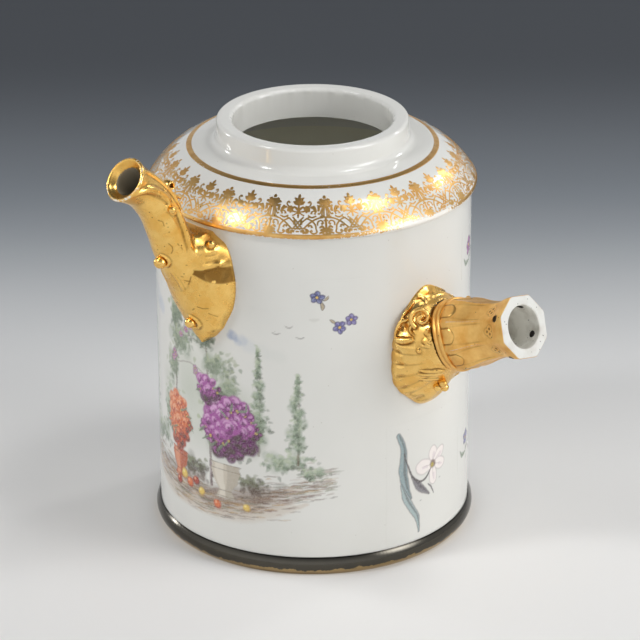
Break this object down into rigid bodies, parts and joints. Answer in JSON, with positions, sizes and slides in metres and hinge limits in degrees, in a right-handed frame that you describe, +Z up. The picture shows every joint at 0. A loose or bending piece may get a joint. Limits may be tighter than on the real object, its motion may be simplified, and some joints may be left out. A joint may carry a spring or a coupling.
{
  "type": "chocolate pot",
  "caption": "Straight-sided porcelain chocolate pot with a gilt side spout, a gilt octagonal socket for a turned handle, an open neck and a metal foot rim.",
  "frame": {"origin": "centre of the foot, on the plane that it rests on", "axes": "+Z up along the axis of the neck, the spout towards -X, the handle socket towards -Y"},
  "size_m": [0.1364, 0.1442, 0.142],
  "materials": {
    "porcelain": "white hard-paste porcelain under a clear gloss glaze",
    "gilding": "porcelain covered with burnished gilding, rubbed at the edges",
    "rim_metal": "dark tarnished metal with brassy worn edges"
  },
  "bodies": {
    "root": {"foot_rim": "rim_metal", "body_wall": "porcelain", "base_disc": "porcelain", "shoulder_ring": "porcelain", "neck_collar": "porcelain", "spout_tube": "gilding", "spout_root_leaf": "gilding", "spout_beads": "gilding", "spout_curl": "gilding", "handle_socket": "gilding", "socket_collar": "gilding", "handle_shell": "gilding", "shell_volute": "gilding", "shell_beads": "gilding"}
  },
  "joints": []
}
